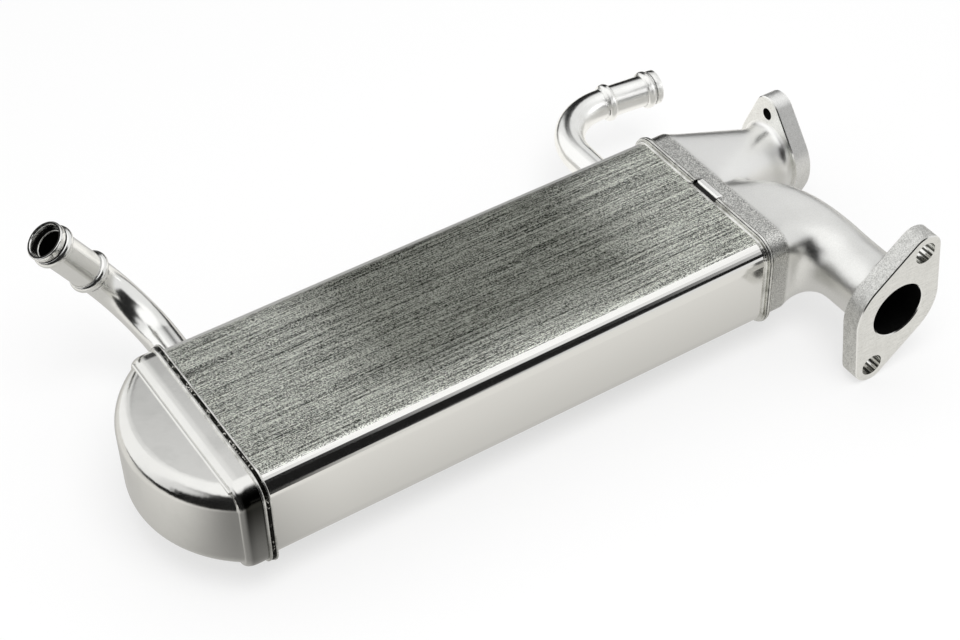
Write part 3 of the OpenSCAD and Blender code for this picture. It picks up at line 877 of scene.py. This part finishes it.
def add_port_rim():
    """Bright rim between two dark joints, and the weld on the shell's side."""
    half, overlap, inset = 0.45 * MM, 0.4 * MM, 0.2 * MM
    line = RIM_PROUD + 0.3 * MM, 0.25 * MM, SHEET_RIM
    joint = RIM_PROUD + 0.05 * MM, 0.05 * MM, DARK_JOINT
    for name, low, high, proud, edge, finish in (
            ("port_rim_line", PORT_X - half, PORT_X + half, *line),
            ("port_shell_joint", PORT_LOW.x + inset, PORT_X - overlap, *joint),
            ("port_collar_joint", PORT_X + overlap, PORT_HIGH.x - inset, *joint)):
        rim = cut_notch(add_lip(name, low, high, proud, edge))
        finish_piece(smooth(rim, 40), finish, "sheet_rim")
    bead = cut_notch(add_bead("port_weld", PORT_LOW.x - 0.6 * MM, 0.1 * MM, 0.75 * MM, 0.15 * MM))
    finish_piece(bead, SHEET_RIM, "sheet_rim")


def add_locating_key():
    """The key's bright crown in the notch, and a near-black block beside it that paints the gap's shade."""
    side_gap = 0.4 * MM
    key = block("locating_key", (PORT_X + 0.05 * MM, NOTCH_LOW + side_gap, SHELL_HIGH.z - 0.2 * MM),
                (PORT_HIGH.x + 2.1 * MM, NOTCH_HIGH - side_gap, PORT_HIGH.z + 0.25 * MM))
    finish_piece(smooth(bevel(key, 0.85 * MM), 40), POLISHED_PIPE, "cast_steel")
    # Painted shade: a thin near-black block stands in for the shade in the gap.
    gap = block("key_gap_painted_shade", (PORT_LOW.x - 0.2 * MM, NOTCH_LOW, SHELL_HIGH.z - 0.5 * MM),
                (PORT_X + 0.1 * MM, NOTCH_HIGH, SHELL_HIGH.z + 0.5 * MM))
    finish_piece(smooth(bevel(gap, 0.05 * MM), 40), PAINTED_SHADE_STEEL, "sheet_rim")


# ---- studio

WHITE, WARM_WHITE, TENT_GREY = (1.0, 1.0, 1.0), (1.0, 0.985, 0.95), (0.8, 0.8, 0.8)
DARK_FLOOR, DARK_CARD = 0.012, 0.01
FLOOR_SIZE, FLOOR_MIDDLE = 6.0, (-0.12, 0.1, FLOOR_Z)
FLOOR_GREY, FLOOR_WHITE_SHARE = (0.9, 0.9, 0.9, 1.0), 0.6
DARK_SPOT = (-0.275, 0.0, FLOOR_Z)
FRONT_CARD_TOPS = ((1.43, 1.68), (0.16, 0.862), (-1.57, 1.33))
FRONT_CARD_BOTTOM = (0.83, -0.18)
OVERHEAD_LEVEL, LEFT_LEVEL = 1.35, 1.3
STRIP_WIDTH, STRIP_HEIGHT = 0.12, 0.03


def mix_shaders(tree, factor, first, second):
    """The first shader at factor 0, the second at 1."""
    node = tree.nodes.new("ShaderNodeMixShader")
    feed(tree, factor, node.inputs["Fac"])
    tree.links.new(first, node.inputs[1])
    tree.links.new(second, node.inputs[2])
    return node.outputs[0]


def glowing(tree, kind, strength, colour):
    """An emission or background shader of one colour; its strength is a socket or a number."""
    node = tree.nodes.new(kind)
    node.inputs["Color"].default_value = (*colour, 1)
    feed(tree, strength, node.inputs["Strength"])
    return node.outputs[0]


def by_ray(tree, seen, mirrored, lighting):
    """One shader for the camera, one for mirror and glass rays, and one that lights the part."""
    ray = tree.nodes.new("ShaderNodeLightPath").outputs
    in_metal = math_node(tree, "ADD", ray["Is Glossy Ray"], ray["Is Transmission Ray"], clamp=True)
    return mix_shaders(tree, ray["Is Camera Ray"], mix_shaders(tree, in_metal, lighting, mirrored), seen)


def mirrored_floor(t):
    """How bright the floor shows in metal: shaded close to the part, dark at the far left and far right."""
    coord = t.nodes.new("ShaderNodeTexCoord").outputs["Object"]
    place = separate(t, coord)
    x, y = place["X"], place["Y"]
    ahead = math_node(t, "SUBTRACT", SHELL_LOW.y, y)
    beside = math_node(t, "SUBTRACT", CAP_LOW.x, x)
    near = map_range(t, math_node(t, "MAXIMUM", ahead, beside), 0.0, 0.05, 0.56, 0.80)
    past_shell = map_range(t, y, SHELL_HIGH.y, SHELL_HIGH.y + 0.03)
    near = math_node(t, "MAXIMUM", near, product(t, past_shell, map_range(t, x, -0.16, -0.10)))
    spot = t.nodes.new("ShaderNodeVectorMath")
    spot.operation = "DISTANCE"
    t.links.new(coord, spot.inputs[0])
    spot.inputs[1].default_value = DARK_SPOT
    off_spot = map_range(t, spot.outputs["Value"], 0.01, 0.075, 0.33, 1.0)
    to_left = math_node(t, "MULTIPLY_ADD", x, -0.76, product(t, y, -0.6))
    left_edge = map_range(t, to_left, 0.225, 0.265, 1.0, DARK_FLOOR)
    far = product(t, map_range(t, y, CORE_Y + 0.20, CORE_Y + 0.26), map_range(t, x, -0.16, -0.08))
    return product(t, near, off_spot, left_edge, map_range(t, far, 0.0, 1.0, 1.0, DARK_FLOOR, soft=False))


def add_floor():
    """A plain pale floor that keeps the part's shadow."""
    deselect()
    bpy.ops.mesh.primitive_plane_add(size=FLOOR_SIZE, location=FLOOR_MIDDLE)
    floor = settle(named("studio_floor"))
    material = bpy.data.materials.new("studio_floor")
    material.use_nodes = True
    t = material.node_tree
    t.nodes.clear()
    lit = t.nodes.new("ShaderNodeBsdfDiffuse")
    lit.inputs["Color"].default_value = FLOOR_GREY
    lit = lit.outputs[0]
    seen = mix_shaders(t, FLOOR_WHITE_SHARE, lit, glowing(t, "ShaderNodeEmission", 1.0, WHITE))
    mirrored = glowing(t, "ShaderNodeEmission", mirrored_floor(t), WARM_WHITE)
    out = t.nodes.new("ShaderNodeOutputMaterial")
    t.links.new(by_ray(t, seen, mirrored, lit), out.inputs["Surface"])
    floor.data.materials.append(material)


def front_card(t, x, y, z):
    """A dark card low in front of the part; its edges are straight lines of slope and height over x."""
    first, second, third = (math_node(t, "MULTIPLY_ADD", x, *edge) for edge in FRONT_CARD_TOPS)
    top = math_node(t, "MINIMUM", math_node(t, "MINIMUM", first, second), third)
    bottom = math_node(t, "MULTIPLY_ADD", x, *FRONT_CARD_BOTTOM)
    ahead = map_range(t, y, 0.12, -0.05)
    under = map_range(t, math_node(t, "SUBTRACT", top, z), -0.07, 0.05)
    above = map_range(t, math_node(t, "SUBTRACT", z, bottom), -0.06, 0.04)
    return product(t, ahead, under, above)


def span(t, bearing, *degrees):
    """A soft step over a bearing given in degrees."""
    return map_range(t, bearing, *(math.radians(angle) for angle in degrees))


def back_card(t, bearing, z):
    """A dark card behind the part that is wider at its foot."""
    low_reach = map_range(t, z, 0.12, 0.26, math.radians(60), math.radians(40))
    reach = math_node(t, "SUBTRACT", low_reach, map_range(t, z, 0.26, 0.62, 0.0, math.radians(6)))
    to_right = span(t, math_node(t, "SUBTRACT", reach, bearing), -5, 4)
    return product(t, span(t, bearing, 4, 13), to_right, map_range(t, z, 0.745, 0.575))


def add_world():
    """White behind the part; metal mirrors a soft tent with two dark cards, brighter above and left."""
    world = bpy.data.worlds.new("studio_tent")
    bpy.context.scene.world = world
    world.use_nodes = True
    t = world.node_tree
    t.nodes.clear()
    direction = separate(t, t.nodes.new("ShaderNodeTexCoord").outputs["Generated"])
    x, y, z = direction["X"], direction["Y"], direction["Z"]
    bearing = math_node(t, "ARCTAN2", x, y)
    dark = math_node(t, "MAXIMUM", front_card(t, x, y, z), back_card(t, bearing, z))
    overhead = map_range(t, z, 0.72, 0.88, 1.0, OVERHEAD_LEVEL)
    left = product(t, span(t, bearing, -3, -14), span(t, bearing, -80, -60))
    bright = math_node(t, "MAXIMUM", overhead, map_range(t, left, 0.0, 1.0, 1.0, LEFT_LEVEL, soft=False))
    level = product(t, bright, map_range(t, dark, 0.0, 1.0, 1.0, DARK_CARD, soft=False))
    tent = glowing(t, "ShaderNodeBackground", level, TENT_GREY)
    plain = glowing(t, "ShaderNodeBackground", 1.0, TENT_GREY)
    backdrop = glowing(t, "ShaderNodeBackground", 1.0, WHITE)
    out = t.nodes.new("ShaderNodeOutputWorld")
    t.links.new(by_ray(t, backdrop, tent, plain), out.inputs["Surface"])


def add_lamp(name, place, target, size, power):
    """A soft area lamp that metal does not mirror."""
    data = bpy.data.lights.new(name, "AREA")
    data.shape = "DISK"
    data.size = size
    data.energy = power
    lamp = bpy.data.objects.new(name, data)
    lamp.location = place
    lamp.rotation_euler = (Vector(target) - Vector(place)).to_track_quat("-Z", "Y").to_euler()
    lamp.visible_glossy = False
    bpy.context.scene.collection.objects.link(lamp)
    return lamp


def add_pipe_light():
    """A low strip light behind the shell that whitens the front of the outlet pipe."""
    place = Vector((0.0, SHELL_HIGH.y + 3 * MM, SHELL_HIGH.z + STRIP_HEIGHT / 2 + 1 * MM))
    to_rear, power = Vector((0.0, 1.0, 0.0)), math.pi * STRIP_WIDTH * STRIP_HEIGHT
    strip = add_lamp("pipe_strip", place, place + to_rear, STRIP_WIDTH, power)
    strip.data.shape = "RECTANGLE"
    strip.data.size_y = STRIP_HEIGHT
    strip.visible_glossy = True
    strip.visible_camera = False


add_camera()
dress_solids()
add_shell()
add_cap()
add_drum_crease()
add_pipes()
add_header_body()
add_flanges()
add_return_rim()
add_port_rim()
add_locating_key()
add_root_welds()
add_floor()
add_world()
add_lamp("overhead_softbox", place=(-0.2, -0.3, 1.1), target=(-0.1, 0.08, 0.0), size=0.8, power=6.0)
add_pipe_light()
bpy.context.scene.view_settings.view_transform = "Standard"
